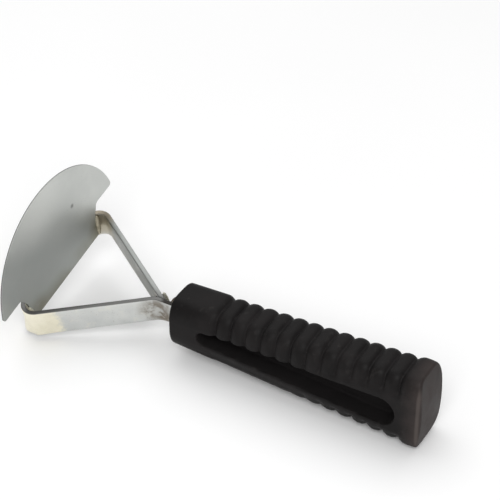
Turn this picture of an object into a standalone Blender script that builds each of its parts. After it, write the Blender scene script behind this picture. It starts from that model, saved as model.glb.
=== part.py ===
"""A hand scraper: a half-moon steel blade in a bent strap yoke, on a ribbed rubber grip.

X runs along the grip from the blade to the butt, and Z is up. The pieces are placed in the tool's own frame,
where X = 0 is the outer face of the strap's base and Y = Z = 0 is the axis of the grip. The empty tool_frame
then carries the whole tool, so that the origin is the bottom centre of its bounding box. The steel head is
rolled about X against the grip, as it was welded, and hangs a little low on it: the empty head_frame holds that.
"""

import math

import bmesh
import bpy
from mathutils import Vector

MM = 0.001
GAP = 0.3 * MM

# The head against the grip
HEAD_ROLL = math.radians(14.8)
HEAD_DROP = 1.76 * MM

# The strap: a flat bar on edge, bent into a triangle whose near end runs on as a lug into the grip
STRAP_WIDTH = 16.4 * MM
STRAP_CENTRE_Z = -0.45 * MM
STRAP_THICKNESS = 2.5 * MM
STRAP_EDGE = 0.35 * MM
YOKE_HALF_WIDTH = 36.3 * MM
BEND_RADIUS = 7.8 * MM
APEX_X = 66.6 * MM
LUG_OUTER_Y = -2.75 * MM
LUG_BEND_RADIUS = 6.0 * MM
LUG_END_X = 87.5 * MM
ARM_ANGLE = math.atan2(YOKE_HALF_WIDTH - BEND_RADIUS, APEX_X - BEND_RADIUS) + math.asin(
    BEND_RADIUS / math.hypot(YOKE_HALF_WIDTH - BEND_RADIUS, APEX_X - BEND_RADIUS)
)
LUG_INNER_Y = LUG_OUTER_Y + STRAP_THICKNESS

# The blade: a circle segment over a narrower band that stands between the arms, leaning back over the rim
BLADE_FRONT_X = 3.9 * MM
BLADE_THICKNESS = 1.2 * MM
BLADE_LEAN = math.radians(2.0)
BLADE_RADIUS = 49.9 * MM
BLADE_CENTRE_Z = 7.5 * MM
TIP_Z = 14.2 * MM
NOTCH_Z = 14.4 * MM
NOTCH_RADIUS = 2.6 * MM
NOTCH_HALF_WIDTH = 35.0 * MM
BAND_TOP_Z = 8.5 * MM
BAND_TOP_HALF_WIDTH = 31.6 * MM
BAND_TOP_RADIUS = 2.0 * MM
BAND_FOOT_HALF_WIDTH = 29.6 * MM
BAND_FOOT_Z = -4.8 * MM
BAND_CORNER_RADIUS = 1.0 * MM

# The tang: a round bar welded beside the lug, moulded into the grip
TANG_RADIUS = 3.6 * MM
TANG_START_X = 67.4 * MM
TANG_END_X = 192.0 * MM
TANG_CHAMFER = 0.6 * MM
ROUND_SIDES = 32
TANG_Y = LUG_INNER_Y + GAP + TANG_RADIUS

# The welds: small beads at the ends of the blade's band, in the strap's apex and along the tang
BAND_BEAD_PLACE = (5.5 * MM, 31.6 * MM, 0.5 * MM)
BAND_BEAD_SIZE = (0.8 * MM, 0.8 * MM, 4.2 * MM)
APEX_BEAD_SIZE = (0.95 * MM, 0.95 * MM, 6.6 * MM)
TANG_END_BEAD_PLACE = (64.9 * MM, 3.9 * MM, 1.0 * MM)
TANG_END_BEAD_SIZE = (1.95 * MM, 1.95 * MM, 6.2 * MM)
TANG_SIDE_BEAD_OFFSET_Y = 1.4 * MM
TANG_SIDE_BEAD_Z = 3.9 * MM
TANG_SIDE_BEAD_SIZE = (3.3 * MM, 0.7 * MM, 0.7 * MM)

# The grip: flat sides, arched top and bottom, wider towards the butt
GRIP_START_X = 74.9 * MM
GRIP_END_X = 211.0 * MM
GRIP_HALF_WIDTH = 12.7 * MM
GRIP_FRONT_HALF_HEIGHT = 14.5 * MM
GRIP_BUTT_HALF_HEIGHT = 21.6 * MM
GRIP_CENTRE_Z = -0.9 * MM
FRONT_SIDE_EXPONENT = 3.5
BUTT_SIDE_EXPONENT = 4.5
FRONT_ARCH_EXPONENT = 2.4
BUTT_ARCH_EXPONENT = 2.7
FRONT_RIM_RADIUS = 1.2 * MM
BUTT_EDGE_RADIUS = 0.8 * MM
FIRST_GROOVE_X = 100.7 * MM
GROOVE_PITCH = 8.18 * MM
GROOVE_COUNT = 13
GROOVE_DEPTH = 1.7 * MM
GROOVE_MOUTH = 3.0 * MM
GROOVE_FLOOR = 1.0 * MM
LAND_FADE = 2.0 * MM
RING_POINTS = 40

# The hollows in the grip's two flat sides
SLOT_START_X = 90.7 * MM
SLOT_END_X = 197.9 * MM
SLOT_FRONT_TOP_Z = 2.4 * MM
SLOT_FRONT_FOOT_Z = -5.0 * MM
SLOT_REAR_TOP_Z = 4.5 * MM
SLOT_REAR_FOOT_Z = -11.2 * MM
SLOT_FRONT_RADIUS = 3.2 * MM
SLOT_REAR_RADIUS = 6.0 * MM
NEAR_SLOT_FLOOR_Y = -3.4 * MM
FAR_SLOT_FLOOR_Y = 9.2 * MM
CUTTER_REACH = 4.0 * MM


def clear_scene():
    for item in list(bpy.data.objects):
        bpy.data.objects.remove(item, do_unlink=True)


def new_collection(name):
    collection = bpy.data.collections.new(name)
    bpy.context.scene.collection.children.link(collection)
    return collection


def principled(name, colour, metallic, roughness):
    material = bpy.data.materials.new(name)
    material.use_nodes = True
    shader = material.node_tree.nodes["Principled BSDF"]
    shader.inputs["Base Color"].default_value = (*colour, 1.0)
    shader.inputs["Metallic"].default_value = metallic
    shader.inputs["Roughness"].default_value = roughness
    material.diffuse_color = (*colour, 1.0)
    return material


def arc(centre, radius, start, end, steps):
    """Points on a circle from one angle to another, ends included."""
    angles = [start + (end - start) * i / steps for i in range(steps + 1)]
    return [(centre[0] + radius * math.cos(a), centre[1] + radius * math.sin(a)) for a in angles]


def rounded(corners, steps=8):
    """A closed outline from (x, y, radius) corners, each rounded by its radius, or sharp at radius 0."""
    outline = []
    for index, (x, y, radius) in enumerate(corners):
        corner = Vector((x, y))
        if radius == 0:
            outline.append((x, y))
            continue
        before = (Vector(corners[index - 1][:2]) - corner).normalized()
        after = (Vector(corners[(index + 1) % len(corners)][:2]) - corner).normalized()
        half = before.angle(after) / 2
        centre = corner + (before + after).normalized() * radius / math.sin(half)
        first = corner + before * radius / math.tan(half) - centre
        last = corner + after * radius / math.tan(half) - centre
        start = math.atan2(first.y, first.x)
        turn = math.remainder(math.atan2(last.y, last.x) - start, math.tau)
        outline += arc(centre, radius, start, start + turn, steps)
    return outline


def add_object(name, mesh, collection, parent, material=None):
    item = bpy.data.objects.new(name, mesh)
    collection.objects.link(item)
    item.parent = parent
    if material:
        item.data.materials.append(material)
    return item


def flat_solid(name, outline, thickness):
    """A mesh from a flat outline in local XY, extruded half its thickness to each side."""
    curve = bpy.data.curves.new(name + "_outline", "CURVE")
    curve.dimensions = "2D"
    curve.fill_mode = "BOTH"
    curve.extrude = thickness / 2
    spline = curve.splines.new("POLY")
    spline.points.add(len(outline) - 1)
    for point, (x, y) in zip(spline.points, outline):
        point.co = (x, y, 0.0, 1.0)
    spline.use_cyclic_u = True
    holder = bpy.data.objects.new(name + "_outline", curve)
    bpy.context.scene.collection.objects.link(holder)
    graph = bpy.context.evaluated_depsgraph_get()
    mesh = bpy.data.meshes.new_from_object(holder.evaluated_get(graph))
    bpy.data.objects.remove(holder, do_unlink=True)
    bpy.data.curves.remove(curve)
    shape = bmesh.new()
    shape.from_mesh(mesh)
    bmesh.ops.remove_doubles(shape, verts=shape.verts, dist=1e-6)
    bmesh.ops.recalc_face_normals(shape, faces=shape.faces)
    shape.to_mesh(mesh)
    shape.free()
    mesh.name = name
    return mesh


def add_bevel(item, width, segments=2):
    bevel = item.modifiers.new("edge", "BEVEL")
    bevel.width = width
    bevel.segments = segments
    bevel.limit_method = "ANGLE"
    bevel.angle_limit = math.radians(50)


def smooth(item, sharp_degrees=35):
    item.data.shade_smooth()
    item.data.set_sharp_from_angle(angle=math.radians(sharp_degrees))


def bar_mesh(name, radius, length, sides):
    """A round bar along X from X = 0."""
    shape = bmesh.new()
    bmesh.ops.create_cone(shape, cap_ends=True, segments=sides, radius1=radius, radius2=radius, depth=length)
    mesh = bpy.data.meshes.new(name)
    shape.to_mesh(mesh)
    shape.free()
    mesh.transform(along_x(length / 2))
    return mesh


def along_x(shift):
    """The matrix that lays a shape made along Z down along X and moves it by shift."""
    turn = Vector((0, 0, 1)).rotation_difference(Vector((1, 0, 0))).to_matrix().to_4x4()
    turn.translation = (shift, 0, 0)
    return turn


def make_blade(collection, head, steel):
    tip_y = math.sqrt(BLADE_RADIUS**2 - (TIP_Z - BLADE_CENTRE_Z) ** 2)
    tip_angle = math.asin((TIP_Z - BLADE_CENTRE_Z) / BLADE_RADIUS)
    edge = arc((0.0, BLADE_CENTRE_Z), BLADE_RADIUS, tip_angle, math.pi - tip_angle, 72)
    band = rounded(
        [
            (-tip_y, TIP_Z, 0),
            (-NOTCH_HALF_WIDTH, NOTCH_Z, NOTCH_RADIUS),
            (-BAND_TOP_HALF_WIDTH, BAND_TOP_Z, BAND_TOP_RADIUS),
            (-BAND_FOOT_HALF_WIDTH, BAND_FOOT_Z, BAND_CORNER_RADIUS),
            (BAND_FOOT_HALF_WIDTH, BAND_FOOT_Z, BAND_CORNER_RADIUS),
            (BAND_TOP_HALF_WIDTH, BAND_TOP_Z, BAND_TOP_RADIUS),
            (NOTCH_HALF_WIDTH, NOTCH_Z, NOTCH_RADIUS),
            (tip_y, TIP_Z, 0),
        ]
    )
    sheet = flat_solid("blade", edge[1:-1] + band, BLADE_THICKNESS)
    blade = add_object("scraper_blade", sheet, collection, head, steel)
    # Local X, Y and Z of the outline become the head's Y, Z and X, tilted about the height of the strap's rim.
    blade.rotation_euler = (math.pi / 2, 0.0, math.pi / 2)
    blade.rotation_euler.rotate_axis("X", -BLADE_LEAN)
    rim = STRAP_CENTRE_Z + STRAP_WIDTH / 2
    blade.location = (
        BLADE_FRONT_X + BLADE_THICKNESS / 2 + rim * math.sin(BLADE_LEAN),
        0.0,
        rim * (1 - math.cos(BLADE_LEAN)),
    )
    return blade


def make_strap(collection, head, steel):
    sine, cosine, tangent = math.sin(ARM_ANGLE), math.cos(ARM_ANGLE), math.tan(ARM_ANGLE)
    inner_apex_x = APEX_X - STRAP_THICKNESS / sine
    inner_bend = BEND_RADIUS - STRAP_THICKNESS
    outer_corner_y = APEX_X * tangent
    inner_corner_y = (inner_apex_x - STRAP_THICKNESS) * tangent
    mitre_y = LUG_INNER_Y + GAP
    corners = [
        (APEX_X - mitre_y / tangent, mitre_y, 0),
        (0.0, outer_corner_y, BEND_RADIUS),
        (0.0, -outer_corner_y, BEND_RADIUS),
        (APEX_X + LUG_OUTER_Y / tangent, LUG_OUTER_Y, LUG_BEND_RADIUS),
        (LUG_END_X, LUG_OUTER_Y, 0),
        (LUG_END_X, LUG_INNER_Y, 0),
        (inner_apex_x + LUG_INNER_Y / tangent, LUG_INNER_Y, LUG_BEND_RADIUS + STRAP_THICKNESS),
        (STRAP_THICKNESS, -inner_corner_y, inner_bend),
        (STRAP_THICKNESS, inner_corner_y, inner_bend),
        (inner_apex_x - mitre_y / tangent, mitre_y, 0),
    ]
    bar = flat_solid("strap", rounded(corners, 10), STRAP_WIDTH)
    strap = add_object("yoke_strap", bar, collection, head, steel)
    strap.location = (0.0, 0.0, STRAP_CENTRE_Z)
    add_bevel(strap, STRAP_EDGE)
    smooth(strap)
    return strap


def make_tang(collection, head, steel):
    bar = bar_mesh("tang", TANG_RADIUS, TANG_END_X - TANG_START_X, ROUND_SIDES)
    tang = add_object("tang_rod", bar, collection, head, steel)
    tang.location = (TANG_START_X, TANG_Y, 0.0)
    add_bevel(tang, TANG_CHAMFER, 1)
    smooth(tang)
    return tang


def make_bead(name, centre, half_sizes, collection, head, steel):
    """A run of weld: an ellipsoid, longest along its seam."""
    shape = bmesh.new()
    bmesh.ops.create_uvsphere(shape, u_segments=16, v_segments=10, radius=1.0)
    bmesh.ops.scale(shape, vec=half_sizes, verts=shape.verts)
    mesh = bpy.data.meshes.new(name)
    shape.to_mesh(mesh)
    shape.free()
    bead = add_object(name, mesh, collection, head, steel)
    bead.location = centre
    bead.data.shade_smooth()
    return bead


def make_beads(collection, head, steel):
    x, y, z = BAND_BEAD_PLACE
    make_bead("weld_blade_far", (x, y, z), BAND_BEAD_SIZE, collection, head, steel)
    make_bead("weld_blade_near", (x, -y, z), BAND_BEAD_SIZE, collection, head, steel)
    apex_x = APEX_X - (STRAP_THICKNESS + GAP + APEX_BEAD_SIZE[0]) / math.sin(ARM_ANGLE)
    make_bead("weld_apex", (apex_x, 0.0, 0.0), APEX_BEAD_SIZE, collection, head, steel)
    make_bead("weld_tang_end", TANG_END_BEAD_PLACE, TANG_END_BEAD_SIZE, collection, head, steel)
    seam_x = (TANG_START_X + GRIP_START_X) / 2
    seam_y = LUG_INNER_Y + TANG_SIDE_BEAD_OFFSET_Y
    for name, seam_z in (("weld_tang_top", TANG_SIDE_BEAD_Z), ("weld_tang_bottom", -TANG_SIDE_BEAD_Z)):
        make_bead(name, (seam_x, seam_y, seam_z), TANG_SIDE_BEAD_SIZE, collection, head, steel)


def along_grip(x, front, butt):
    """A value that changes evenly from the front of the grip to its butt."""
    return front + (x - GRIP_START_X) / (GRIP_END_X - GRIP_START_X) * (butt - front)


def slot_edge(x, front_z, rear_z):
    return front_z + (x - SLOT_START_X) / (SLOT_END_X - SLOT_START_X) * (rear_z - front_z)


def groove_share(x, z):
    """How much of a groove's depth is cut at this height: none on the flat land round the slots."""
    top = slot_edge(x, SLOT_FRONT_TOP_Z, SLOT_REAR_TOP_Z) + LAND_FADE
    foot = slot_edge(x, SLOT_FRONT_FOOT_Z, SLOT_REAR_FOOT_Z) - LAND_FADE
    outside = max(z - top, foot - z)
    return min(1.0, max(0.0, outside / LAND_FADE))


def grip_ring(x, inset):
    """One section of the grip: a superellipse, drawn in by the inset of a groove or a rounded rim."""
    half_height = along_grip(x, GRIP_FRONT_HALF_HEIGHT, GRIP_BUTT_HALF_HEIGHT)
    side = along_grip(x, FRONT_SIDE_EXPONENT, BUTT_SIDE_EXPONENT)
    arch = along_grip(x, FRONT_ARCH_EXPONENT, BUTT_ARCH_EXPONENT)
    points = []
    for step in range(RING_POINTS):
        angle = math.tau * (step + 0.5) / RING_POINTS
        across, up = math.cos(angle), math.sin(angle)
        y = GRIP_HALF_WIDTH * math.copysign(abs(across) ** (2 / side), across)
        z = half_height * math.copysign(abs(up) ** (2 / arch), up)
        depth = inset(x, z + GRIP_CENTRE_Z)
        y *= 1 - depth / GRIP_HALF_WIDTH
        z *= 1 - depth / half_height
        points.append(Vector((x, y, GRIP_CENTRE_Z + z)))
    return points


def grip_sections():
    """Every section's X with the rule for its inset: rounded front rim, grooves between the ribs, butt edge."""
    sections = []
    for share in (0.0, 0.3, 0.65, 1.0):
        inset = FRONT_RIM_RADIUS * (1 - math.sqrt(1 - (1 - share) ** 2))
        sections.append((GRIP_START_X + FRONT_RIM_RADIUS * share, lambda x, z, inset=inset: inset))
    half_mouth, half_floor = GROOVE_MOUTH / 2, GROOVE_FLOOR / 2
    for index in range(GROOVE_COUNT):
        centre = FIRST_GROOVE_X + index * GROOVE_PITCH
        for offset in (-half_mouth, -half_floor, half_floor, half_mouth):
            depth = GROOVE_DEPTH if abs(offset) == half_floor else 0.0
            sections.append((centre + offset, lambda x, z, depth=depth: depth * groove_share(x, z)))
    sections.append((GRIP_END_X - BUTT_EDGE_RADIUS, lambda x, z: 0.0))
    sections.append((GRIP_END_X, lambda x, z: BUTT_EDGE_RADIUS))
    return sections


def make_grip_body():
    shape = bmesh.new()
    rings = [[shape.verts.new(point) for point in grip_ring(x, inset)] for x, inset in grip_sections()]
    for first, second in zip(rings, rings[1:]):
        for step in range(RING_POINTS):
            after = (step + 1) % RING_POINTS
            shape.faces.new((first[step], second[step], second[after], first[after]))
    shape.faces.new(rings[0])
    shape.faces.new(rings[-1])
    bmesh.ops.recalc_face_normals(shape, faces=shape.faces)
    mesh = bpy.data.meshes.new("grip")
    shape.to_mesh(mesh)
    shape.free()
    return mesh


def add_cutter(name, mesh, cutters, parent):
    cutter = add_object(name, mesh, cutters, parent)
    cutter.hide_render = True
    cutter.display_type = "WIRE"
    return cutter


def make_slot_cutter(name, floor_y, side_sign, cutters, frame):
    outline = rounded(
        [
            (SLOT_START_X, SLOT_FRONT_FOOT_Z, SLOT_FRONT_RADIUS),
            (SLOT_END_X, SLOT_REAR_FOOT_Z, SLOT_REAR_RADIUS),
            (SLOT_END_X, SLOT_REAR_TOP_Z, SLOT_REAR_RADIUS),
            (SLOT_START_X, SLOT_FRONT_TOP_Z, SLOT_FRONT_RADIUS),
        ]
    )
    mouth_y = side_sign * (GRIP_HALF_WIDTH + CUTTER_REACH)
    cutter = add_cutter(name, flat_solid(name, outline, abs(mouth_y - floor_y)), cutters, frame)
    cutter.rotation_euler = (math.pi / 2, 0.0, 0.0)
    cutter.location = (0.0, (mouth_y + floor_y) / 2, 0.0)
    return cutter


def make_tang_cutter(cutters, head):
    length = TANG_END_X + GAP - GRIP_START_X + CUTTER_REACH
    bore = bar_mesh("tang_bore", TANG_RADIUS + GAP, length, ROUND_SIDES)
    cutter = add_cutter("tang_bore", bore, cutters, head)
    cutter.location = (GRIP_START_X - CUTTER_REACH, TANG_Y, 0.0)
    return cutter


def make_lug_cutter(cutters, head):
    length = LUG_END_X + GAP - GRIP_START_X + CUTTER_REACH
    size = Vector((length, STRAP_THICKNESS + 2 * GAP, STRAP_WIDTH + 2 * GAP))
    shape = bmesh.new()
    bmesh.ops.create_cube(shape, size=1.0)
    bmesh.ops.scale(shape, vec=size, verts=shape.verts)
    mesh = bpy.data.meshes.new("lug_slit")
    shape.to_mesh(mesh)
    shape.free()
    cutter = add_cutter("lug_slit", mesh, cutters, head)
    cutter.location = (LUG_END_X + GAP - size.x / 2, (LUG_OUTER_Y + LUG_INNER_Y) / 2, STRAP_CENTRE_Z)
    return cutter


def make_grip(collection, cutters, frame, head, rubber):
    grip = add_object("rubber_grip", make_grip_body(), collection, frame, rubber)
    tools = (
        make_slot_cutter("near_slot", NEAR_SLOT_FLOOR_Y, -1, cutters, frame),
        make_slot_cutter("far_slot", FAR_SLOT_FLOOR_Y, 1, cutters, frame),
        make_tang_cutter(cutters, head),
        make_lug_cutter(cutters, head),
    )
    for tool in tools:
        cut = grip.modifiers.new(tool.name, "BOOLEAN")
        cut.operation = "DIFFERENCE"
        cut.solver = "EXACT"
        cut.object = tool
    smooth(grip)
    return grip


def stand_on_origin(frame, collection):
    """Moves the whole tool so that the bottom centre of its bounding box is the origin."""
    bpy.context.view_layer.update()
    graph = bpy.context.evaluated_depsgraph_get()
    points = []
    for item in collection.objects:
        solid = item.evaluated_get(graph)
        points += [solid.matrix_world @ vertex.co for vertex in solid.data.vertices]
    low = [min(point[axis] for point in points) for axis in range(3)]
    high = [max(point[axis] for point in points) for axis in range(3)]
    frame.location = (-(low[0] + high[0]) / 2, -(low[1] + high[1]) / 2, -low[2])
    bpy.context.view_layer.update()


def add_frame(name, collection, parent=None):
    frame = bpy.data.objects.new(name, None)
    collection.objects.link(frame)
    frame.parent = parent
    return frame


def main():
    clear_scene()
    parts = new_collection("hand_scraper")
    frames = new_collection("frames")
    cutters = new_collection("cutters")

    frame = add_frame("tool_frame", frames)
    head = add_frame("head_frame", frames, frame)
    head.location = (0.0, 0.0, -HEAD_DROP)
    head.rotation_euler = (HEAD_ROLL, 0.0, 0.0)

    blade_steel = principled("blade_steel", (0.42, 0.43, 0.41), 1.0, 0.32)
    strap_steel = principled("strap_steel", (0.47, 0.46, 0.43), 1.0, 0.38)
    burnt_steel = principled("burnt_steel", (0.06, 0.045, 0.035), 1.0, 0.55)
    rubber = principled("black_rubber", (0.014, 0.013, 0.013), 0.0, 0.48)

    make_blade(parts, head, blade_steel)
    make_strap(parts, head, strap_steel)
    make_tang(parts, head, burnt_steel)
    make_beads(parts, head, burnt_steel)
    make_grip(parts, cutters, frame, head, rubber)
    stand_on_origin(frame, parts)


main()
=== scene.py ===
"""Looks of the hand scraper: a half-moon blade on a bent strap yoke, with a ribbed rubber grip.

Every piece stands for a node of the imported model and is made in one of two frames. The tool's frame has
X = 0 at the outer face of the strap's base, and its X axis runs through the grip. The head's frame is rolled
about X against it, as the steel head was welded.
"""

import math

import bmesh
import bpy
import numpy as np
from mathutils import Matrix, Vector, noise


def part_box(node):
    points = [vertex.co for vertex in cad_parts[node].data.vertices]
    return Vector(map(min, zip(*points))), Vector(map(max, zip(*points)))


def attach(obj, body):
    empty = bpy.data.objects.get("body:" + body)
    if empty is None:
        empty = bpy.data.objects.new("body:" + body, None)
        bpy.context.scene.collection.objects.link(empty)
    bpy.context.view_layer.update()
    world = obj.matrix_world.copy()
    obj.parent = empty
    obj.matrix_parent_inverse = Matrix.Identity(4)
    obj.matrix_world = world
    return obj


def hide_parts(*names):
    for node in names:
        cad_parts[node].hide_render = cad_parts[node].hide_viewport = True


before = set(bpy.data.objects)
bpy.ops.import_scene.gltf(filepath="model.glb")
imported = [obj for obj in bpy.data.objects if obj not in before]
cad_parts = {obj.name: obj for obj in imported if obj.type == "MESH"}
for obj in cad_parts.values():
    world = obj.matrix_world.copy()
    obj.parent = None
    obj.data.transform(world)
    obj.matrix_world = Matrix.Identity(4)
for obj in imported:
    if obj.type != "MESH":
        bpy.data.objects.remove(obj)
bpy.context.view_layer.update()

MM = 0.001
BODY = "root"

# The head against the grip
HEAD_ROLL = math.radians(14.8)
HEAD_DROP = 1.76 * MM

# The strap yoke, in the head's frame
STRAP_WIDTH = 16.4 * MM
STRAP_CENTRE_Z = -0.45 * MM
STRAP_THICKNESS = 2.5 * MM
STRAP_CORNER = 0.45 * MM
STRAP_UNEVEN = 0.04 * MM
NEAR_BEND = Vector((2.3, -34.0)) * MM
NEAR_BEND_FLARE = 1.4 * MM
LUG_TAPER = 1.5 * MM
LUG_TAPER_RUN = 8 * MM
LUG_TAPER_LEAD = 4 * MM
STRAP_BEND_STEPS = 16
STRAP_SPACING = 0.8 * MM
STRAP_CORNER_STEPS = 4
STRAP_FACE_SPACING = 1.6 * MM
STRAP_WAVE = 9 * MM
YOKE_HALF_WIDTH = 36.3 * MM
BEND_RADIUS = 7.8 * MM
APEX_X = 66.6 * MM
LUG_OUTER_Y = -2.75 * MM
LUG_BEND_RADIUS = 6.0 * MM
LUG_END_X = 87.5 * MM
LUG_INNER_Y = LUG_OUTER_Y + STRAP_THICKNESS
ARM_ANGLE = math.atan2(YOKE_HALF_WIDTH - BEND_RADIUS, APEX_X - BEND_RADIUS) + math.asin(
    BEND_RADIUS / math.hypot(YOKE_HALF_WIDTH - BEND_RADIUS, APEX_X - BEND_RADIUS)
)

# The blade, in the head's frame
BLADE_FRONT_X = 3.9 * MM
BLADE_THICKNESS = 1.2 * MM
BLADE_LEAN = math.radians(2.0)
BLADE_RADIUS = 49.85 * MM
TIP_ROUND = 2.4 * MM
BLADE_CENTRE_Z = 7.5 * MM
TIP_Z = 14.2 * MM
NOTCH_Z = 14.4 * MM
NOTCH_RADIUS = 2.6 * MM
NOTCH_HALF_WIDTH = 35.0 * MM
BAND_TOP_Z = 8.5 * MM
BAND_TOP_HALF_WIDTH = 31.6 * MM
BAND_TOP_RADIUS = 2.0 * MM
BAND_FOOT_HALF_WIDTH = 29.6 * MM
BAND_FOOT_Z = -4.8 * MM
BAND_CORNER_RADIUS = 1.0 * MM
EDGE_ROUND = 0.12 * MM
GRIND_WIDTH = 1.8 * MM
GRIND_DEPTH = 0.6 * MM
GRIND_RUN_OUT = 0.25
ARC_STEPS = 220

# The tang, in the head's frame
TANG_RADIUS = 3.6 * MM
TANG_START_X = 67.4 * MM
TANG_END_X = 192.0 * MM
TANG_CHAMFER = 0.6 * MM
TANG_GAP = 0.3 * MM
TANG_Y = LUG_INNER_Y + TANG_GAP + TANG_RADIUS
TANG_DETAIL_PAST_COLLAR = 4 * MM
TANG_STEPS = 36
TANG_SIDES = 48
SCALE_DEPTH = 0.10 * MM
SCALE_SIZE = 1.6 * MM

# The weld beads
BEAD_SPACING = 0.22 * MM
BEAD_SIDES = 24
BEAD_RIPPLE = 1.15 * MM
BEAD_RIPPLE_SHARE = 0.10
BEAD_LUMP_DEPTH = 0.16 * MM
BEAD_LUMP_SIZE = 1.1 * MM
BEAD_END_SHARE = 0.02
BEAD_FULLNESS = 0.4

# The grip, in the tool's frame
GRIP_START_X = 74.9 * MM
GRIP_END_X = 211.0 * MM
GRIP_HALF_WIDTH = 12.7 * MM
GRIP_FRONT_HALF_HEIGHT = 14.5 * MM
GRIP_BUTT_HALF_HEIGHT = 21.6 * MM
GRIP_CENTRE_Z = -0.9 * MM
FRONT_SIDE_EXPONENT = 3.5
BUTT_SIDE_EXPONENT = 4.5
FRONT_ARCH_EXPONENT = 2.4
BUTT_ARCH_EXPONENT = 2.9
BUTT_KEEL_EXPONENT = 3.3
FRONT_FULL_HALF_WIDTH = 12.85 * MM
BUTT_FULL_HALF_WIDTH = 13.2 * MM
FRONT_RIM_RADIUS = 1.2 * MM
BUTT_EDGE_RADIUS = 1.5 * MM
BUTT_CREST_X = 202.5 * MM
BUTT_FALL = 0.7 * MM
BUTT_CROWN = 2.0 * MM
BUTT_FACE_RINGS = (0.96, 0.9, 0.8, 0.68, 0.54, 0.4, 0.26, 0.14, 0.06)
FIRST_GROOVE_X = 100.7 * MM
GROOVE_PITCH = 8.18 * MM
GROOVE_COUNT = 13
GROOVE_DEPTH = 2.6 * MM
GROOVE_SHARPNESS = 0.42
RIB_DROP = 0.35 * MM
KEEL_RIBS_FROM_X = 128.0 * MM
KEEL_RIBS_GROW = 55.0 * MM
REAR_RIBS_FROM_X = 128 * MM
REAR_RIBS_GROW = 60 * MM
TOP_STOP_FRONT = -4.5 * MM
TOP_STOP_RISE = 7.0 * MM
KEEL_STOP_FRONT = 0.4 * MM
KEEL_STOP_FALL = 1.2 * MM
SLOT_FRONT = Vector((94.4, -1.3, 3.7)) * MM
SLOT_REAR = Vector((190.0, -3.2, 7.9)) * MM
NEAR_SLOT_DEPTH = 9.3 * MM
FAR_SLOT_DEPTH = 3.5 * MM
SLOT_WALL = 0.7 * MM
GRIP_AROUND = 320
GRIP_SPACING = 0.4 * MM
GRIP_VOXEL = 0.42 * MM

# The camera, in the tool's frame
CAMERA_AIM = Vector((99.4, 24.4, 31.0)) * MM
CAMERA_AZIMUTH = math.radians(30.37)
CAMERA_ELEVATION = math.radians(37.52)
CAMERA_DISTANCE = 873.8 * MM
CAMERA_LENS = 129.6

# The light, in the world
WORLD_STRENGTH = 0.46
LIGHT_TARGET = (0, 0, 0.02)
SOFTBOXES = (
    # name, place, size, watts
    ("overhead", (-0.3, 0.45, 1.15), (1.5, 1.3), 8),
    ("front", (0.42, -0.8, 0.95), (0.7, 0.7), 8.5),
)

# Seeds that keep the unevenness of one piece unlike that of the next
STRAP_SEED = 3.1
TANG_SEED = 8.2
FIRST_BEAD_SEED = 2.3

strap_low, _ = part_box("yoke_strap")
grip_low, grip_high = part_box("rubber_grip")
TOOL_ORIGIN = Vector(
    (strap_low.x, (grip_low.y + grip_high.y) / 2, (grip_low.z + grip_high.z) / 2 - GRIP_CENTRE_Z)
)
TOOL = Matrix.Translation(TOOL_ORIGIN)
HEAD = TOOL @ Matrix.Translation((0, 0, -HEAD_DROP)) @ Matrix.Rotation(HEAD_ROLL, 4, "X")


# ---------------------------------------------------------------- outlines


def arc(centre, radius, start, end, steps):
    """Points on a circle from one angle to another, ends included."""
    angles = [start + (end - start) * i / steps for i in range(steps + 1)]
    return [(centre[0] + radius * math.cos(a), centre[1] + radius * math.sin(a)) for a in angles]


def rounded(corners, steps=8):
    """An outline from (x, y, radius) corners, each rounded by its radius, or sharp at radius 0."""
    outline = []
    for index, (x, y, radius) in enumerate(corners):
        corner = Vector((x, y))
        if radius == 0:
            outline.append((x, y))
            continue
        before = (Vector(corners[index - 1][:2]) - corner).normalized()
        after = (Vector(corners[(index + 1) % len(corners)][:2]) - corner).normalized()
        half = before.angle(after) / 2
        centre = corner + (before + after).normalized() * radius / math.sin(half)
        first = corner + before * radius / math.tan(half) - centre
        last = corner + after * radius / math.tan(half) - centre
        start = math.atan2(first.y, first.x)
        turn = math.remainder(math.atan2(last.y, last.x) - start, math.tau)
        outline += arc(centre, radius, start, start + turn, steps)
    return outline


def softened(first, corner, last, steps=8):
    """A curve that cuts a corner off between one point on each of its sides."""
    first, corner, last = Vector(first), Vector(corner), Vector(last)
    shares = [i / steps for i in range(steps + 1)]
    return [first * (1 - t) ** 2 + corner * 2 * t * (1 - t) + last * t**2 for t in shares]


def resampled(points, spacing):
    """The same line through points no further apart than the spacing, keeping every corner."""
    result = []
    for first, second in zip(points, points[1:]):
        first, second = Vector(first), Vector(second)
        steps = max(1, math.ceil((second - first).length / spacing))
        result += [first.lerp(second, i / steps) for i in range(steps)]
    return result + [Vector(points[-1])]


# ---------------------------------------------------------------- pieces


def add_piece(name, mesh, matrix, node, material):
    """Adds a mesh made in the tool's or the head's frame, as the piece that stands for a CAD node."""
    mesh.transform(matrix)
    mesh.materials.append(material)
    piece = bpy.data.objects.new(name, mesh)
    bpy.context.scene.collection.objects.link(piece)
    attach(piece, BODY)
    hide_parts(node)
    return piece


def mesh_of(name, points, faces, sharp_degrees=35):
    mesh = bpy.data.meshes.new(name)
    mesh.from_pydata([tuple(p) for p in points], [], faces)
    shape = bmesh.new()
    shape.from_mesh(mesh)
    bmesh.ops.recalc_face_normals(shape, faces=shape.faces)
    shape.to_mesh(mesh)
    shape.free()
    mesh.shade_smooth()
    mesh.set_sharp_from_angle(angle=math.radians(sharp_degrees))
    return mesh


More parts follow.
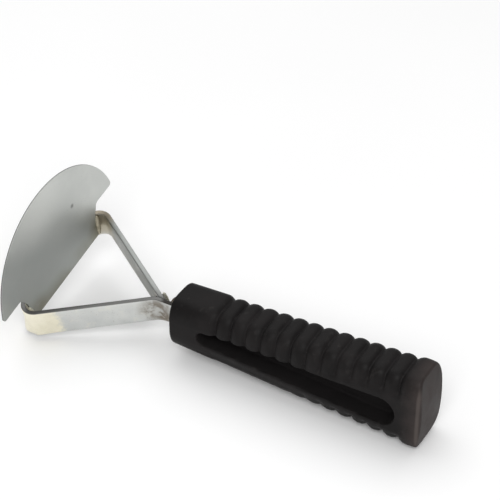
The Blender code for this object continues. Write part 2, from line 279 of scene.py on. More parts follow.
def ring_faces(ring_count, ring_size, capped=True):
    """Quads between rings of points, and a cap on the first and last ring."""
    faces = []
    for ring in range(ring_count - 1):
        for step in range(ring_size):
            after = (step + 1) % ring_size
            base, beyond = ring * ring_size, (ring + 1) * ring_size
            faces.append((base + step, beyond + step, beyond + after, base + after))
    if capped:
        faces.append(tuple(range(ring_size)))
        faces.append(tuple((ring_count - 1) * ring_size + i for i in range(ring_size)))
    return faces


def uneven(point, scale, seed):
    """Smooth noise between about -1 and 1 at a place in metres, for a bump this many metres across."""
    return noise.noise(Vector(point) / scale + Vector((seed, seed * 1.7, seed * 0.3)))


def make_blade(material):
    """The sheet, with a face ground along the front of its arc and every edge a little rounded."""
    tip_y = math.sqrt(BLADE_RADIUS**2 - (TIP_Z - BLADE_CENTRE_Z) ** 2)
    tip_angle = math.asin((TIP_Z - BLADE_CENTRE_Z) / BLADE_RADIUS)
    cut = TIP_ROUND / BLADE_RADIUS
    edge = arc((0.0, BLADE_CENTRE_Z), BLADE_RADIUS, tip_angle + cut, math.pi - tip_angle - cut, ARC_STEPS)
    band = rounded(
        [
            (-tip_y, TIP_Z, 0),
            (-NOTCH_HALF_WIDTH, NOTCH_Z, NOTCH_RADIUS),
            (-BAND_TOP_HALF_WIDTH, BAND_TOP_Z, BAND_TOP_RADIUS),
            (-BAND_FOOT_HALF_WIDTH, BAND_FOOT_Z, BAND_CORNER_RADIUS),
            (BAND_FOOT_HALF_WIDTH, BAND_FOOT_Z, BAND_CORNER_RADIUS),
            (BAND_TOP_HALF_WIDTH, BAND_TOP_Z, BAND_TOP_RADIUS),
            (NOTCH_HALF_WIDTH, NOTCH_Z, NOTCH_RADIUS),
            (tip_y, TIP_Z, 0),
        ]
    )
    near_tip = softened(edge[-1], (-tip_y, TIP_Z), (TIP_ROUND - tip_y, TIP_Z))
    far_tip = softened((tip_y - TIP_ROUND, TIP_Z), (tip_y, TIP_Z), edge[0])
    outline = [Vector(p) for p in edge + near_tip[1:] + band[1:-1] + far_tip[:-1]]
    count, arc_count = len(outline), len(edge)
    inward = []
    for index, point in enumerate(outline):
        before = (point - outline[index - 1]).normalized()
        after = (outline[(index + 1) % count] - point).normalized()
        along = (before + after).normalized()
        inward.append(Vector((-along.y, along.x)))
    half = BLADE_THICKNESS / 2
    grind = [
        math.sin(math.pi * (index + 0.5) / arc_count) ** GRIND_RUN_OUT if index < arc_count else 0.0
        for index in range(count)
    ]
    rings = []
    for x, width, ground_x, ground_width in (
        (half, EDGE_ROUND, half, EDGE_ROUND),
        (half - EDGE_ROUND, 0.0, half - EDGE_ROUND, 0.0),
        (-half + EDGE_ROUND, 0.0, -half + GRIND_DEPTH, 0.0),
        (-half, EDGE_ROUND, -half, GRIND_WIDTH),
    ):
        for point, inner, share in zip(outline, inward, grind):
            place = point + inner * (width + (ground_width - width) * share)
            rings.append(Vector((x + (ground_x - x) * share, place.x, place.y)))
    rim = STRAP_CENTRE_Z + STRAP_WIDTH / 2
    lean = (
        Matrix.Translation((BLADE_FRONT_X + half, 0, rim))
        @ Matrix.Rotation(-BLADE_LEAN, 4, "Y")
        @ Matrix.Translation((0, 0, -rim))
    )
    mesh = mesh_of("scraper_blade_sheet", [lean @ p for p in rings], ring_faces(4, count), 25)
    return add_piece("blade_sheet", mesh, HEAD, "scraper_blade", material)


def strap_path():
    """The middle line of the bar, from the far arm's mitred end round both bends to the end of the lug."""
    half = STRAP_THICKNESS / 2
    middle_apex_x = APEX_X - half / math.sin(ARM_ANGLE)
    corner_y = (middle_apex_x - half) * math.tan(ARM_ANGLE)
    lug_y = (LUG_OUTER_Y + LUG_INNER_Y) / 2
    corners = [
        (middle_apex_x - LUG_INNER_Y / math.tan(ARM_ANGLE), LUG_INNER_Y, 0),
        (half, corner_y, BEND_RADIUS - half),
        (half, -corner_y, BEND_RADIUS - half),
        (middle_apex_x + lug_y / math.tan(ARM_ANGLE), lug_y, LUG_BEND_RADIUS + half),
        (LUG_END_X, lug_y, 0),
    ]
    return resampled(rounded(corners, STRAP_BEND_STEPS), STRAP_SPACING)


def bar_section():
    """The bar's cross-section as (across its thickness, across its width), with rounded corners."""
    across, along = STRAP_THICKNESS / 2, STRAP_WIDTH / 2
    corners = [
        (-across, -along, STRAP_CORNER),
        (across, -along, STRAP_CORNER),
        (across, along, STRAP_CORNER),
        (-across, along, STRAP_CORNER),
    ]
    outline = rounded(corners, STRAP_CORNER_STEPS)
    return resampled(outline + outline[:1], STRAP_FACE_SPACING)[:-1]


def lug_share(place, index, count):
    """How far along the taper of the lug a place on the path is: 0 everywhere before it, 1 at the grip."""
    if index <= count / 2:
        return 0.0
    return min(1.0, max(0.0, (place.x - APEX_X + LUG_TAPER_LEAD) / LUG_TAPER_RUN))


def make_strap(material):
    """The bar swept along its path: uneven from rolling, fuller low on the near bend, tapered at the lug."""
    path, section = strap_path(), bar_section()
    points = []
    for index, place in enumerate(path):
        along = (path[min(len(path) - 1, index + 1)] - path[max(0, index - 1)]).normalized()
        # The path turns left, so the outside of the yoke is on its right-hand side.
        outward = Vector((along.y, -along.x))
        flare = NEAR_BEND_FLARE * math.exp(-(((place - NEAR_BEND).length / BEND_RADIUS) ** 2))
        taper = LUG_TAPER * lug_share(place, index, len(path))
        for across, width in section:
            spot = place + outward * across
            if index == 0:
                spot += along * (LUG_INNER_Y - spot.y) / along.y
            dip = STRAP_UNEVEN * (1 + uneven((spot.x, spot.y, width), STRAP_WAVE, STRAP_SEED))
            spot -= outward * math.copysign(dip, across)
            low = max(0.0, -width / (STRAP_WIDTH / 2))
            spot += outward * flare * low
            spot = Vector((max(spot.x, 0.0), max(spot.y, -YOKE_HALF_WIDTH)))
            points.append(Vector((spot.x, spot.y, STRAP_CENTRE_Z + width + taper * low)))
    mesh = mesh_of("yoke_strap_bar", points, ring_faces(len(path), len(section)), 40)
    return add_piece("yoke_bar", mesh, HEAD, "yoke_strap", material)


def make_tang(material):
    """The round bar, with chamfered ends and a forged, scaly skin where it shows."""
    length, shown_end = TANG_END_X - TANG_START_X, GRIP_START_X + TANG_DETAIL_PAST_COLLAR - TANG_START_X
    step_length = (shown_end - TANG_CHAMFER) / TANG_STEPS
    stations = [(0.0, TANG_RADIUS - TANG_CHAMFER), (TANG_CHAMFER, TANG_RADIUS)]
    stations += [(TANG_CHAMFER + step_length * i, TANG_RADIUS) for i in range(1, TANG_STEPS + 1)]
    stations += [(length - TANG_CHAMFER, TANG_RADIUS), (length, TANG_RADIUS - TANG_CHAMFER)]
    points = []
    for x, radius in stations:
        for step in range(TANG_SIDES):
            angle = math.tau * step / TANG_SIDES
            y, z = math.cos(angle), math.sin(angle)
            scale = radius - SCALE_DEPTH * (1 + uneven((x, y * radius, z * radius), SCALE_SIZE, TANG_SEED))
            points.append(Vector((TANG_START_X + x, TANG_Y + y * scale, z * scale)))
    mesh = mesh_of("tang_bar", points, ring_faces(len(stations), TANG_SIDES), 50)
    return add_piece("tang_bar", mesh, HEAD, "tang_rod", material)


def bead_mesh(name, start, end, across_size, out_size, seed):
    """A run of weld from start to end: a lumpy, rippled bead, thickest in the middle."""
    start, end = Vector(start), Vector(end)
    along = (end - start).normalized()
    side = along.orthogonal().normalized()
    other = along.cross(side)
    length = (end - start).length
    stations = int(length / BEAD_SPACING)
    points = []
    for index in range(stations):
        share = index / (stations - 1)
        bulge = max(BEAD_END_SHARE, math.sin(math.pi * share)) ** BEAD_FULLNESS
        wave = 1 + BEAD_RIPPLE_SHARE * math.cos(math.tau * share * length / BEAD_RIPPLE)
        centre = start.lerp(end, share)
        for step in range(BEAD_SIDES):
            angle = math.tau * step / BEAD_SIDES
            direction = side * math.cos(angle) * across_size + other * math.sin(angle) * out_size
            spot = centre + direction * bulge * wave
            spot += direction.normalized() * BEAD_LUMP_DEPTH * uneven(spot, BEAD_LUMP_SIZE, seed)
            points.append(spot)
    return mesh_of(name, points, ring_faces(stations, BEAD_SIDES), 60)


def make_beads(pale, tan, dark):
    """All six runs of weld, each from one end to the other with its half widths in millimetres."""
    band_y = BAND_TOP_HALF_WIDTH + 0.1 * MM
    back_x = BLADE_FRONT_X + BLADE_THICKNESS + 0.2 * MM
    apex_x = APEX_X - STRAP_THICKNESS / math.sin(ARM_ANGLE) - 0.9 * MM
    seam_y = LUG_INNER_Y + 1.2 * MM
    seam_z = TANG_RADIUS + 0.1 * MM
    seam_start, seam_end = TANG_START_X - 0.4 * MM, GRIP_START_X + 0.4 * MM
    end_low, end_high = (64.3 * MM, 3.2 * MM, -5.4 * MM), (63.9 * MM, 2.9 * MM, 7.6 * MM)
    far_low, far_high = (back_x, band_y - 1.6 * MM, -5.2 * MM), (back_x, band_y, 7.4 * MM)
    near_low, near_high = (back_x, 1.6 * MM - band_y, -5.2 * MM), (back_x, -band_y, 6.0 * MM)
    top_start, top_end = (seam_start, seam_y, seam_z), (seam_end, seam_y, seam_z)
    bottom_start, bottom_end = (seam_start, seam_y, -seam_z), (seam_end, seam_y, -seam_z)
    seams = (
        ("far_blade_weld", "weld_blade_far", tan, far_low, far_high, 1.4, 1.2),
        ("near_blade_weld", "weld_blade_near", pale, near_low, near_high, 1.3, 1.2),
        ("apex_weld", "weld_apex", dark, (apex_x, 0, -7.2 * MM), (apex_x, 0, 6.6 * MM), 1.2, 1.1),
        ("tang_end_weld", "weld_tang_end", pale, end_low, end_high, 1.4, 1.3),
        ("tang_top_weld", "weld_tang_top", dark, top_start, top_end, 1.3, 1.1),
        ("tang_bottom_weld", "weld_tang_bottom", dark, bottom_start, bottom_end, 1.3, 1.1),
    )
    for seed, (name, node, material, start, end, across, out) in enumerate(seams):
        mesh = bead_mesh(name + "_bead", start, end, across * MM, out * MM, FIRST_BEAD_SEED + seed)
        add_piece(name, mesh, HEAD, node, material)


# ---------------------------------------------------------------- grip


def ease(value):
    value = np.clip(value, 0.0, 1.0)
    return value * value * (3 - 2 * value)


def slot_distance(x, z):
    """How far outside the slot's outline a place on the side is: a capsule that widens towards the butt."""
    share = np.clip((x - SLOT_FRONT.x) / (SLOT_REAR.x - SLOT_FRONT.x), 0, 1)
    centre_x = SLOT_FRONT.x + share * (SLOT_REAR.x - SLOT_FRONT.x)
    centre_z = SLOT_FRONT.y + share * (SLOT_REAR.y - SLOT_FRONT.y)
    radius = SLOT_FRONT.z + share * (SLOT_REAR.z - SLOT_FRONT.z)
    return np.hypot(x - centre_x, z - centre_z) - radius


def slot_edges(x):
    """The heights of the slot's upper and lower edge."""
    share = np.clip((x - SLOT_FRONT.x) / (SLOT_REAR.x - SLOT_FRONT.x), 0, 1)
    centre_z = SLOT_FRONT.y + share * (SLOT_REAR.y - SLOT_FRONT.y)
    radius = SLOT_FRONT.z + share * (SLOT_REAR.z - SLOT_FRONT.z)
    return centre_z + radius, centre_z - radius


def groove_inset(x, z):
    """Depth of the valleys between the ribs: over the top down to the slot, and underneath up to it."""
    upper_edge, lower_edge = slot_edges(x)
    rear = np.clip((x - REAR_RIBS_FROM_X) / REAR_RIBS_GROW, 0, 1)
    reach = GROOVE_PITCH / 2
    upper_stop = upper_edge + TOP_STOP_FRONT + TOP_STOP_RISE * ease(rear)
    lower_stop = lower_edge - KEEL_STOP_FRONT - KEEL_STOP_FALL * rear
    on_top = z > (upper_edge + lower_edge) / 2
    beyond = np.where(on_top, np.maximum(0, upper_stop + reach - z), np.maximum(0, z - lower_stop + reach))
    last = GROOVE_COUNT - 1
    index = np.clip(np.round((x - FIRST_GROOVE_X) / GROOVE_PITCH), 0, last)
    distance = np.hypot(x - (FIRST_GROOVE_X + index * GROOVE_PITCH), beyond) / reach
    depth = GROOVE_DEPTH * np.where(on_top, 1.0, ease((x - KEEL_RIBS_FROM_X) / KEEL_RIBS_GROW))
    valley = 1 - np.sin(np.clip(distance, 0, 1) * math.pi / 2) ** GROOVE_SHARPNESS
    last_x = FIRST_GROOVE_X + last * GROOVE_PITCH
    ribs = ease((x - FIRST_GROOVE_X + reach) / reach) * ease((last_x + reach - x) / reach)
    return depth * valley + RIB_DROP * ribs * (1 - ease(beyond / reach))


def end_inset(x):
    """Roundings of the front rim and the butt's edge, and the fall from the last crest to the butt."""
    front = np.clip(1 - (x - GRIP_START_X) / FRONT_RIM_RADIUS, 0, 1)
    butt = np.clip(1 - (GRIP_END_X - x) / BUTT_EDGE_RADIUS, 0, 1)
    inset = FRONT_RIM_RADIUS * (1 - np.sqrt(1 - front**2)) + BUTT_EDGE_RADIUS * (1 - np.sqrt(1 - butt**2))
    fall = np.clip((x - BUTT_CREST_X) / (GRIP_END_X - BUTT_CREST_X), 0, 1)
    return inset + BUTT_FALL * fall**2


def along_grip(x, front, butt):
    """A value that changes evenly from the front of the grip to its butt."""
    return front + (x - GRIP_START_X) / (GRIP_END_X - GRIP_START_X) * (butt - front)


def grip_surface():
    """The grip's points, ring by ring, with the ring count and ring size."""
    ends = [GRIP_START_X + FRONT_RIM_RADIUS * s for s in (0.0, 0.03, 0.1, 0.2, 0.35, 0.55, 0.75)]
    middle = np.arange(GRIP_START_X + FRONT_RIM_RADIUS, GRIP_END_X - BUTT_EDGE_RADIUS, GRIP_SPACING)
    rear = [GRIP_END_X - BUTT_EDGE_RADIUS * s for s in (0.7, 0.45, 0.25, 0.1, 0.03, 0.0)]
    stations = np.concatenate([ends, middle, rear])
    angle = np.arange(GRIP_AROUND) / GRIP_AROUND * math.tau
    x, angle = np.meshgrid(stations, angle, indexing="ij")
    height = along_grip(x, GRIP_FRONT_HALF_HEIGHT, GRIP_BUTT_HALF_HEIGHT)
    width = along_grip(x, FRONT_FULL_HALF_WIDTH, BUTT_FULL_HALF_WIDTH)
    side = along_grip(x, FRONT_SIDE_EXPONENT, BUTT_SIDE_EXPONENT)
    arch = along_grip(x, FRONT_ARCH_EXPONENT, BUTT_ARCH_EXPONENT)
    across, up = np.cos(angle), np.sin(angle)
    y = width * np.sign(across) * np.abs(across) ** (2 / side)
    arch = np.where(up > 0, arch, along_grip(x, FRONT_ARCH_EXPONENT, BUTT_KEEL_EXPONENT))
    z = height * np.sign(up) * np.abs(up) ** (2 / arch)
    slope_y = np.sign(y) * np.abs(y / width) ** (side - 1) * side / width
    slope_z = np.sign(z) * np.abs(z / height) ** (arch - 1) * arch / height
    length = np.hypot(slope_y, slope_z)
    place_z = z + GRIP_CENTRE_Z
    inset = groove_inset(x, place_z) + end_inset(x)
    y = np.clip(y, -GRIP_HALF_WIDTH, GRIP_HALF_WIDTH) - inset * slope_y / length
    place_z = place_z - inset * slope_z / length
    outside = slot_distance(x, place_z)
    hollow = ease(-outside / SLOT_WALL)
    y = np.where(y < 0, y + NEAR_SLOT_DEPTH * hollow, y - FAR_SLOT_DEPTH * hollow)
    past_crest = np.clip((x - BUTT_CREST_X) / (GRIP_END_X - BUTT_CREST_X), 0, 1)
    crown = BUTT_CROWN * (z / height) ** 2 * past_crest
    rings = list(np.stack([x - crown, y, place_z], axis=-1))
    rim_y, rim_z, rim_crown = y[-1], place_z[-1] - GRIP_CENTRE_Z, crown[-1]
    for share in BUTT_FACE_RINGS:
        face_x = GRIP_END_X - rim_crown * share**2
        rings.append(np.stack([face_x, rim_y * share, rim_z * share + GRIP_CENTRE_Z], axis=-1))
    return np.concatenate(rings), len(rings), GRIP_AROUND


def make_grip(material):
    """The moulding, remeshed so that ribs, lips and hollows are softly rounded like moulded rubber."""
    points, ring_count, ring_size = grip_surface()
    mesh = mesh_of("rubber_grip_moulding", points, ring_faces(ring_count, ring_size), 180)
    piece = add_piece("grip_moulding", mesh, TOOL, "rubber_grip", material)
    remesh = piece.modifiers.new("moulding", "REMESH")
    remesh.mode = "VOXEL"
    remesh.voxel_size = GRIP_VOXEL
    remesh.use_smooth_shade = True
    soften = piece.modifiers.new("soften", "SMOOTH")
    soften.factor = 0.5
    soften.iterations = 3
    graph = bpy.context.evaluated_depsgraph_get()
    final = bpy.data.meshes.new_from_object(piece.evaluated_get(graph))
    piece.modifiers.clear()
    piece.data = final
    final.shade_smooth()
    return piece


# ---------------------------------------------------------------- materials


class Shader:
    """A material's node tree, with short calls to add nodes and join them."""

    def __init__(self, name, matrix=None):
        self.material = bpy.data.materials.new(name)
        self.material.use_nodes = True
        self.nodes = self.material.node_tree.nodes
        self.links = self.material.node_tree.links
        self.surface = self.nodes["Principled BSDF"]
        self.place = self.nodes.new("ShaderNodeTexCoord").outputs["Object"]
        if matrix:
            self.place = self.in_frame(matrix.inverted())

    def in_frame(self, inverse):
        """Places in the frame that a piece was made in."""
        node = self.nodes.new("ShaderNodeMapping")
        node.inputs["Location"].default_value = inverse.translation
        node.inputs["Rotation"].default_value = inverse.to_euler("XYZ")
        self.join(self.place, node.inputs["Vector"])
        return node.outputs["Vector"]

    def join(self, source, target):
        self.links.new(source, target)

    def value(self, target, item):
        """Sets a socket to a number or colour, or joins a node's output to it."""
        if isinstance(item, bpy.types.NodeSocket):
            self.join(item, target)
        else:
            target.default_value = item

    def noise(self, scale, detail=4.0, roughness=0.5, vector=None):
        node = self.nodes.new("ShaderNodeTexNoise")
        node.inputs["Scale"].default_value = scale
        node.inputs["Detail"].default_value = detail
        node.inputs["Roughness"].default_value = roughness
        self.join(vector or self.place, node.inputs["Vector"])
        return node.outputs["Fac"]

    def stretched(self, x, y, z):
        """Object coordinates with each axis scaled, for grain that runs one way."""
        node = self.nodes.new("ShaderNodeMapping")
        node.inputs["Scale"].default_value = (x, y, z)
        self.join(self.place, node.inputs["Vector"])
        return node.outputs["Vector"]

    def math(self, operation, first, second=0.0, clamp=False):
        node = self.nodes.new("ShaderNodeMath")
        node.operation = operation
        node.use_clamp = clamp
        self.value(node.inputs[0], first)
        self.value(node.inputs[1], second)
        return node.outputs[0]

    def ramp(self, factor, low, high, out_low=0.0, out_high=1.0):
        node = self.nodes.new("ShaderNodeMapRange")
        node.interpolation_type = "SMOOTHSTEP"
        self.join(factor, node.inputs["Value"])
        node.inputs["From Min"].default_value = low
        node.inputs["From Max"].default_value = high
        node.inputs["To Min"].default_value = out_low
        node.inputs["To Max"].default_value = out_high
        return node.outputs[0]

    def mix(self, factor, first, second):
        node = self.nodes.new("ShaderNodeMix")
        node.data_type = "RGBA"
        self.value(node.inputs["Factor"], factor)
        self.value(node.inputs["A"], first)
        self.value(node.inputs["B"], second)
        return node.outputs["Result"]

    def axis(self, name):
        node = self.nodes.new("ShaderNodeSeparateXYZ")
        self.join(self.place, node.inputs[0])
        return node.outputs[name]

    def near(self, centre, inner, outer):
        """1 within the inner distance of a place in the piece's frame, falling to 0 at the outer distance."""
        node = self.nodes.new("ShaderNodeVectorMath")
        node.operation = "DISTANCE"
        self.join(self.place, node.inputs[0])
        node.inputs[1].default_value = centre
        return self.ramp(node.outputs["Value"], inner, outer, 1.0, 0.0)

    def bump(self, height, distance, strength=1.0, below=None):
        node = self.nodes.new("ShaderNodeBump")
        node.inputs["Distance"].default_value = distance
        node.inputs["Strength"].default_value = strength
        self.join(height, node.inputs["Height"])
        if below:
            self.join(below, node.inputs["Normal"])
        return node.outputs["Normal"]

    def finish(self, colour, roughness, normal, metallic=0.0, specular=0.5):
        self.value(self.surface.inputs["Base Color"], colour)
        self.value(self.surface.inputs["Roughness"], roughness)
        self.value(self.surface.inputs["Normal"], normal)
        self.surface.inputs["Metallic"].default_value = metallic
        self.surface.inputs["Specular IOR Level"].default_value = specular
        return self.material


def rgb(red, green, blue):
    return (red, green, blue, 1.0)


# Colours. A pair runs from the darker to the paler.
SHEET_STEEL = rgb(0.555, 0.57, 0.55), rgb(0.64, 0.655, 0.63)
SHEET_SPECKS = rgb(0.30, 0.30, 0.28)
SHEET_PAINTED_SHADE = rgb(0.27, 0.285, 0.275)
SHEET_PAINTED_SHEEN = rgb(0.76, 0.77, 0.74)
FOOT_TINT = rgb(0.20, 0.19, 0.12)
WELD_STAIN = rgb(0.20, 0.175, 0.10)
DARK_SPOT = rgb(0.14, 0.14, 0.13)
SHEET_EDGE = rgb(0.20, 0.20, 0.19)
BAR_STEEL = rgb(0.58, 0.595, 0.585), rgb(0.69, 0.70, 0.68)
BAR_PITS = rgb(0.30, 0.28, 0.24)
FAR_ARM_PAINTED_SHADE = rgb(0.14, 0.145, 0.125)
FAR_BEND_PAINTED_REFLECTION = rgb(0.48, 0.43, 0.32)
NEAR_BEND_PAINTED_REFLECTION = rgb(0.74, 0.69, 0.53), rgb(1.0, 0.97, 0.83)
LUG_BURN = rgb(0.17, 0.135, 0.095)
SHEARED_EDGE_SHADED_AND_LIT = rgb(0.14, 0.14, 0.135), rgb(0.30, 0.31, 0.30)
SHEARED_TAN = rgb(0.26, 0.23, 0.18)
SHEARED_BURN = rgb(0.03, 0.028, 0.025)
BURNT_FLECKS = rgb(0.30, 0.27, 0.23)
RUBBER = rgb(0.0060, 0.0052, 0.0052), rgb(0.012, 0.0105, 0.0105)
RUBBER_WORN = rgb(0.055, 0.043, 0.040)
RUBBER_SCUFF = rgb(0.035, 0.032, 0.030)
RUBBER_EDGE_HIGHLIGHT = rgb(0.13, 0.11, 0.10)
RUBBER_DUST = rgb(0.08, 0.075, 0.07)
RUBBER_SLOT_PAINTED_SHADE = rgb(0.009, 0.008, 0.008)
FLOOR = rgb(0.93, 0.93, 0.93), rgb(0.95, 0.95, 0.95)
ROUND_BAR = rgb(0.05, 0.038, 0.03), rgb(0.12, 0.095, 0.07)
BRIGHT_WELD = rgb(0.36, 0.34, 0.26), rgb(0.68, 0.67, 0.58)
TINTED_WELD = rgb(0.32, 0.29, 0.21), rgb(0.52, 0.48, 0.37)
BURNT_WELD = rgb(0.04, 0.032, 0.025), rgb(0.14, 0.115, 0.085)


def facing(shader, axis):
    """How far the surface faces along an axis of the head's frame: 1 straight along it, 0 square to it."""
    node = shader.nodes.new("ShaderNodeTexCoord")
    turn = shader.nodes.new("ShaderNodeMapping")
    turn.vector_type = "NORMAL"
    turn.inputs["Rotation"].default_value = HEAD.inverted().to_euler("XYZ")
    shader.join(node.outputs["Normal"], turn.inputs["Vector"])
    part = shader.nodes.new("ShaderNodeSeparateXYZ")
    shader.join(turn.outputs["Vector"], part.inputs[0])
    return shader.math("ABSOLUTE", part.outputs[axis])


def blade_material():
    shader = Shader("cold_rolled_sheet", HEAD)
    clouds = shader.noise(45, 3.0)
    grain = shader.noise(1.0, 3.0, 0.6, shader.stretched(900, 60, 900))
    speckle = shader.noise(1500, 2.0)
    base = shader.mix(shader.ramp(clouds, 0.35, 0.7), *SHEET_STEEL)
    base = shader.mix(shader.ramp(speckle, 0.62, 0.78, 0.0, 0.25), base, SHEET_SPECKS)
    height = shader.axis("Z")
    # Painted shade: the sheet is darkened along a slanting band low on its face, in place of the dark things
    # it reflects there.
    slant = shader.math("ADD", height, shader.math("MULTIPLY", shader.axis("Y"), 0.6))
    base = shader.mix(shader.ramp(slant, 14 * MM, 44 * MM, 0.6, 0.0), base, SHEET_PAINTED_SHADE)
    # Painted sheen: a paler patch high on the sheet stands in for a highlight.
    painted_sheen = shader.math("MULTIPLY", shader.near((5 * MM, -5 * MM, 56 * MM), 8 * MM, 32 * MM), 0.5)
    base = shader.mix(painted_sheen, base, SHEET_PAINTED_SHEEN)
    # Towards its foot the sheet turns darker and yellower, in patches.
    foot = shader.ramp(height, -5 * MM, 6 * MM, 0.5, 0.0)
    foot = shader.math("MULTIPLY", foot, shader.ramp(clouds, 0.3, 0.6))
    base = shader.mix(foot, base, FOOT_TINT)
    for centre, inner, outer, depth in (
        ((5 * MM, 30 * MM, 0), 1 * MM, 10 * MM, 0.6),
        ((5 * MM, -26 * MM, -3 * MM), 1 * MM, 12 * MM, 0.5),
    ):
        burn = shader.math("MULTIPLY", shader.near(centre, inner, outer), depth)
        burn = shader.math("MULTIPLY", burn, shader.ramp(shader.noise(120, 3.0), 0.3, 0.6, 0.5, 1.0))
        base = shader.mix(burn, base, WELD_STAIN)
    spot = shader.near((4.5 * MM, 18.3 * MM, 29.4 * MM), 0.4 * MM, 1.8 * MM)
    base = shader.mix(shader.math("MULTIPLY", spot, 0.7), base, DARK_SPOT)
    rim = shader.math("SUBTRACT", 1.0, facing(shader, "X"), clamp=True)
    base = shader.mix(shader.ramp(rim, 0.3, 0.8), base, SHEET_EDGE)
    roughness = shader.ramp(clouds, 0.3, 0.7, 0.47, 0.56)
    normal = shader.bump(shader.noise(22, 1.0), 0.6 * MM, 0.35)
    normal = shader.bump(grain, 0.012 * MM, 0.6, normal)
    return shader.finish(base, roughness, normal, metallic=0.85)


def strap_material():
    shader = Shader("plated_flat_bar", HEAD)
    clouds = shader.noise(60, 3.0)
    grain = shader.noise(1.0, 3.0, 0.6, shader.stretched(120, 120, 1400))
    base = shader.mix(shader.ramp(clouds, 0.35, 0.7), *BAR_STEEL)
    pits = shader.noise(900, 2.0, 0.7)
    base = shader.mix(shader.ramp(pits, 0.60, 0.75, 0.0, 0.35), base, BAR_PITS)
    # Painted shade: the far arm is darkened, though it is the same steel as the near arm.
    on_arms = shader.ramp(shader.axis("X"), 6 * MM, 14 * MM)
    inner = shader.math("MULTIPLY", shader.ramp(shader.axis("Y"), -1 * MM, 4 * MM), on_arms)
    base = shader.mix(shader.math("MULTIPLY", inner, 0.85), base, FAR_ARM_PAINTED_SHADE)
    # Painted reflection: a reddish tan patch on the far bend.
    tan = shader.near((6 * MM, 32 * MM, 0), 4 * MM, 13 * MM)
    base = shader.mix(shader.math("MULTIPLY", tan, 0.85), base, FAR_BEND_PAINTED_REFLECTION)
    # Painted reflection: a pale cream patch on the near bend, broken up into patches.
    patches = shader.noise(150, 4.0, 0.65)
    cream_reflection = shader.near((8.5 * MM, -35 * MM, -1 * MM), 10 * MM, 19 * MM)
    cream_reflection = shader.ramp(shader.math("ADD", cream_reflection, shader.ramp(patches, 0.3, 0.7, -0.3, 0.3)), 0.1, 0.8)
    base = shader.mix(shader.math("MULTIPLY", cream_reflection, 0.95), base, shader.mix(patches, *NEAR_BEND_PAINTED_REFLECTION))
    for centre, inner, outer, depth in (
        ((62 * MM, -3 * MM, 0), 3 * MM, 12 * MM, 0.85),
        ((66 * MM, -3 * MM, -5 * MM), 2 * MM, 6 * MM, 0.8),
        ((67 * MM, -3 * MM, 6 * MM), 1 * MM, 4 * MM, 0.8),
    ):
        burn = shader.math("MULTIPLY", shader.near(centre, inner, outer), depth)
        burn = shader.math("MULTIPLY", burn, shader.ramp(shader.noise(190, 4.0, 0.6), 0.38, 0.58, 0.25, 1.0))
        base = shader.mix(burn, base, LUG_BURN)
    rim = shader.ramp(facing(shader, "Z"), 0.45, 0.8)
    # The sheared edges are darker than the faces; beyond that, the near arm's edge is painted darker and the
    # far arm's paler, as painted shade and light.
    sheared = shader.mix(shader.ramp(shader.axis("Y"), -1 * MM, 5 * MM), *SHEARED_EDGE_SHADED_AND_LIT)
    sheared = shader.mix(shader.near((6 * MM, 34 * MM, 7.7 * MM), 5 * MM, 13 * MM), sheared, SHEARED_TAN)
    sheared = shader.mix(shader.near((71 * MM, 0, 7.7 * MM), 4 * MM, 7 * MM), sheared, SHEARED_BURN)
    base = shader.mix(rim, base, sheared)
    roughness = shader.ramp(clouds, 0.3, 0.7, 0.32, 0.45)
    normal = shader.bump(shader.noise(70, 2.0), 0.25 * MM, 0.4)
    normal = shader.bump(grain, 0.02 * MM, 0.5, normal)
    return shader.finish(base, roughness, normal, metallic=0.85)


def burnt_material(name, dark, pale):
    shader = Shader(name, HEAD)
    clouds = shader.noise(350, 4.0, 0.6)
    base = shader.mix(shader.ramp(clouds, 0.35, 0.65), dark, pale)
    flecks = shader.noise(1400, 2.0)
    base = shader.mix(shader.ramp(flecks, 0.62, 0.72, 0.0, 0.5), base, BURNT_FLECKS)
    roughness = shader.ramp(clouds, 0.3, 0.7, 0.45, 0.7)
    normal = shader.bump(shader.noise(1100, 3.0, 0.6), 0.12 * MM, 0.7)
    return shader.finish(base, roughness, normal, metallic=0.7)


def between(shader, item, rise, fall):
    """1 between two places on an axis, with a soft rise before it and a soft fall after it."""
    return shader.math("MULTIPLY", shader.ramp(item, *rise), shader.ramp(item, *fall, 1.0, 0.0))


def slot_share(shader):
    """1 on the walls and floor of the two slots, and 0 on the outside of the grip."""
    inside = shader.ramp(shader.math("ABSOLUTE", shader.axis("Y")), 10.2 * MM, 12.2 * MM, 1.0, 0.0)
    band = between(shader, shader.axis("Z"), (-13 * MM, -11.5 * MM), (5 * MM, 6.5 * MM))
    span = between(shader, shader.axis("X"), (88 * MM, 91 * MM), (198 * MM, 200 * MM))
    return shader.math("MULTIPLY", shader.math("MULTIPLY", inside, band), span)


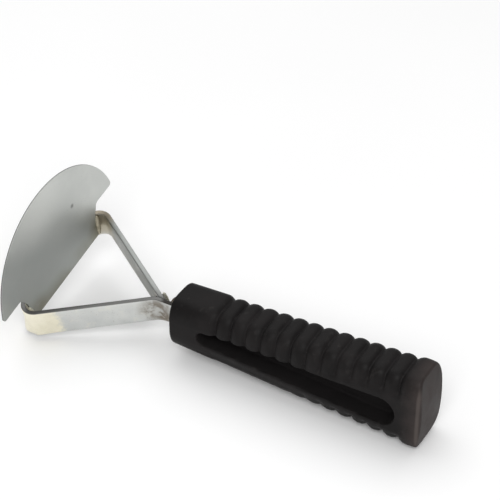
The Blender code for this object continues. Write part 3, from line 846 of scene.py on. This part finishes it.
def rubber_material():
    shader = Shader("moulded_black_rubber", TOOL)
    clouds = shader.noise(70, 4.0, 0.55)
    grain = shader.noise(2600, 2.0, 0.6)
    base = shader.mix(shader.ramp(clouds, 0.35, 0.7), *RUBBER)
    worn = shader.math("MULTIPLY", shader.ramp(shader.axis("X"), 199 * MM, 210 * MM), 0.65)
    worn = shader.math("MULTIPLY", worn, shader.ramp(clouds, 0.25, 0.6, 0.5, 1.0))
    base = shader.mix(worn, base, RUBBER_WORN)
    scuffs = shader.ramp(shader.noise(1.0, 4.0, 0.65, shader.stretched(260, 260, 110)), 0.56, 0.72, 0.0, 0.30)
    base = shader.mix(scuffs, base, RUBBER_SCUFF)
    # Painted highlight: a pale line just in from the butt on the near side, along its rounded edge.
    from_highlight_line = shader.math("ABSOLUTE", shader.math("SUBTRACT", shader.axis("X"), GRIP_END_X - 1.6 * MM))
    near_side = shader.ramp(shader.axis("Y"), -12 * MM, -9 * MM, 1.0, 0.0)
    edge_highlight = shader.math("MULTIPLY", shader.ramp(from_highlight_line, 0.3 * MM, 1.3 * MM, 0.35, 0.0), near_side)
    base = shader.mix(edge_highlight, base, RUBBER_EDGE_HIGHLIGHT)
    dust = shader.ramp(shader.noise(1900, 2.0), 0.66, 0.76, 0.0, 0.08)
    base = shader.mix(dust, base, RUBBER_DUST)
    # Painted shade: the slots' walls and floor are darkened where shade falls in them; they are also rougher.
    slot = slot_share(shader)
    base = shader.mix(shader.math("MULTIPLY", slot, 0.75), base, RUBBER_SLOT_PAINTED_SHADE)
    roughness = shader.ramp(clouds, 0.3, 0.7, 0.46, 0.62)
    roughness = shader.math("ADD", roughness, shader.math("MULTIPLY", slot, 0.3))
    normal = shader.bump(shader.noise(160, 3.0), 0.15 * MM, 0.35)
    normal = shader.bump(grain, 0.03 * MM, 0.5, normal)
    return shader.finish(base, roughness, normal, specular=0.12)


def floor_material():
    shader = Shader("pale_floor")
    tone = shader.mix(shader.ramp(shader.noise(3.0, 2.0), 0.3, 0.7), *FLOOR)
    shader.finish(tone, 0.9, shader.bump(shader.noise(200), 0.1 * MM, 0.1), specular=0.1)
    return shader.material


# ---------------------------------------------------------------- stage


def make_floor():
    mesh = bpy.data.meshes.new("floor")
    shape = bmesh.new()
    bmesh.ops.create_grid(shape, x_segments=4, y_segments=4, size=6.0)
    shape.to_mesh(mesh)
    shape.free()
    floor = bpy.data.objects.new("floor", mesh)
    bpy.context.scene.collection.objects.link(floor)
    mesh.materials.append(floor_material())


def aim(item, target):
    item.rotation_euler = (Vector(target) - item.location).to_track_quat("-Z", "Y").to_euler()


def add_softbox(name, place, size, power):
    light = bpy.data.lights.new(name, "AREA")
    light.shape = "RECTANGLE"
    light.size, light.size_y = size
    light.energy = power
    item = bpy.data.objects.new(name, light)
    bpy.context.scene.collection.objects.link(item)
    item.location = place
    aim(item, LIGHT_TARGET)


def make_lights():
    world = bpy.data.worlds.new("studio")
    bpy.context.scene.world = world
    world.use_nodes = True
    background = world.node_tree.nodes["Background"]
    background.inputs["Color"].default_value = rgb(1.0, 1.0, 1.0)
    background.inputs["Strength"].default_value = WORLD_STRENGTH
    for softbox in SOFTBOXES:
        add_softbox(*softbox)


def make_camera():
    camera = bpy.data.cameras.new("camera")
    camera.lens = CAMERA_LENS
    camera.sensor_width = 36.0
    camera.clip_start = 0.01
    item = bpy.data.objects.new("camera", camera)
    bpy.context.scene.collection.objects.link(item)
    level = math.cos(CAMERA_ELEVATION)
    back = Vector(
        (math.sin(CAMERA_AZIMUTH) * level, -math.cos(CAMERA_AZIMUTH) * level, math.sin(CAMERA_ELEVATION))
    )
    target = TOOL @ CAMERA_AIM
    item.location = target + back * CAMERA_DISTANCE
    aim(item, target)
    bpy.context.scene.camera = item
    bpy.context.scene.view_settings.view_transform = "Standard"


make_camera()
make_lights()
make_floor()
make_blade(blade_material())
make_strap(strap_material())
make_tang(burnt_material("scaled_round_bar", *ROUND_BAR))
make_beads(
    burnt_material("bright_weld", *BRIGHT_WELD),
    burnt_material("heat_tinted_weld", *TINTED_WELD),
    burnt_material("burnt_weld", *BURNT_WELD),
)
make_grip(rubber_material())
